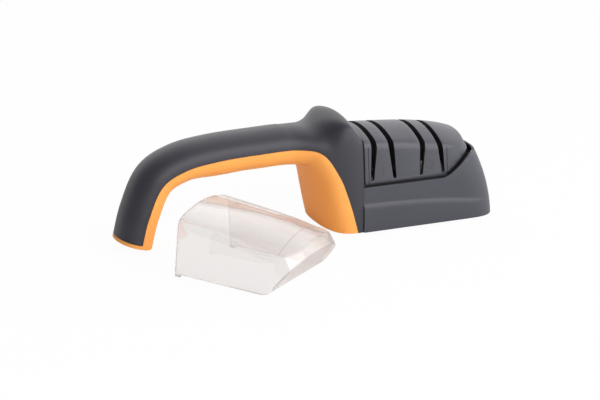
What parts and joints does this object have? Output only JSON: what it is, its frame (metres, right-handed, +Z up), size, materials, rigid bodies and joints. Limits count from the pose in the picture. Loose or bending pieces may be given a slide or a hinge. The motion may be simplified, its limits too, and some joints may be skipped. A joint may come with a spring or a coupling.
{
  "type": "hand-held knife sharpener",
  "caption": "Hand-held pull-through knife sharpener with an arched two-colour handle, slotted head over rolling abrasive wheels, rubber base pad and a loose clear hood cover.",
  "frame": {"origin": "centre of the base pad's underside, on the table", "axes": "+X from the handle's foot toward the nose of the head, +Z up from the table, the slots run along Y"},
  "size_m": [0.2072, 0.1226, 0.061],
  "materials": {
    "soft_grey": "soft-touch satin",
    "housing_grey": "satin",
    "slot_grey": "finely textured",
    "orange": "satin",
    "black_plastic": "fine grain",
    "pad_rubber": "matt",
    "steel": "plain turned",
    "diamond_steel": "gritty abrasive coat",
    "white_ceramic": "fine sintered",
    "clear_plastic": "clear, polished"
  },
  "bodies": {
    "sharpener": {"handle_shell": "soft_grey", "handle_core": "orange", "head_housing": "housing_grey", "slot_module": "slot_grey", "base_plate": "black_plastic", "base_pad": "pad_rubber", "wheel_cradle": "black_plastic", "base_screw_1": "steel", "base_screw_2": "steel", "base_screw_3": "steel", "base_screw_4": "steel", "base_screw_5": "steel"},
    "front_wheels": {"front_axle": "steel", "front_coarse_sleeve": "steel", "front_fine_sleeve": "steel", "front_coarse_wheel_1": "diamond_steel", "front_coarse_wheel_2": "diamond_steel", "front_fine_wheel_1": "white_ceramic", "front_fine_wheel_2": "white_ceramic"},
    "rear_wheels": {"rear_axle": "steel", "rear_coarse_sleeve": "steel", "rear_fine_sleeve": "steel", "rear_coarse_wheel_1": "diamond_steel", "rear_coarse_wheel_2": "diamond_steel", "rear_fine_wheel_1": "white_ceramic", "rear_fine_wheel_2": "white_ceramic"},
    "cover": {"clear_cover": "clear_plastic"}
  },
  "joints": [
    {"name": "front_roll", "type": "hinge", "parent": "sharpener", "child": "front_wheels", "pos_m": [0.0044, -0.007, 0.0225], "axis": [1, 0, 0], "continuous": true},
    {"name": "rear_roll", "type": "hinge", "parent": "sharpener", "child": "rear_wheels", "pos_m": [0.0044, 0.007, 0.0225], "axis": [1, 0, 0], "continuous": true},
    {"name": "cover_lift", "type": "slide", "parent": "sharpener", "child": "cover", "axis": [0, 0, 1], "range_m": [0, 0.06]}
  ]
}
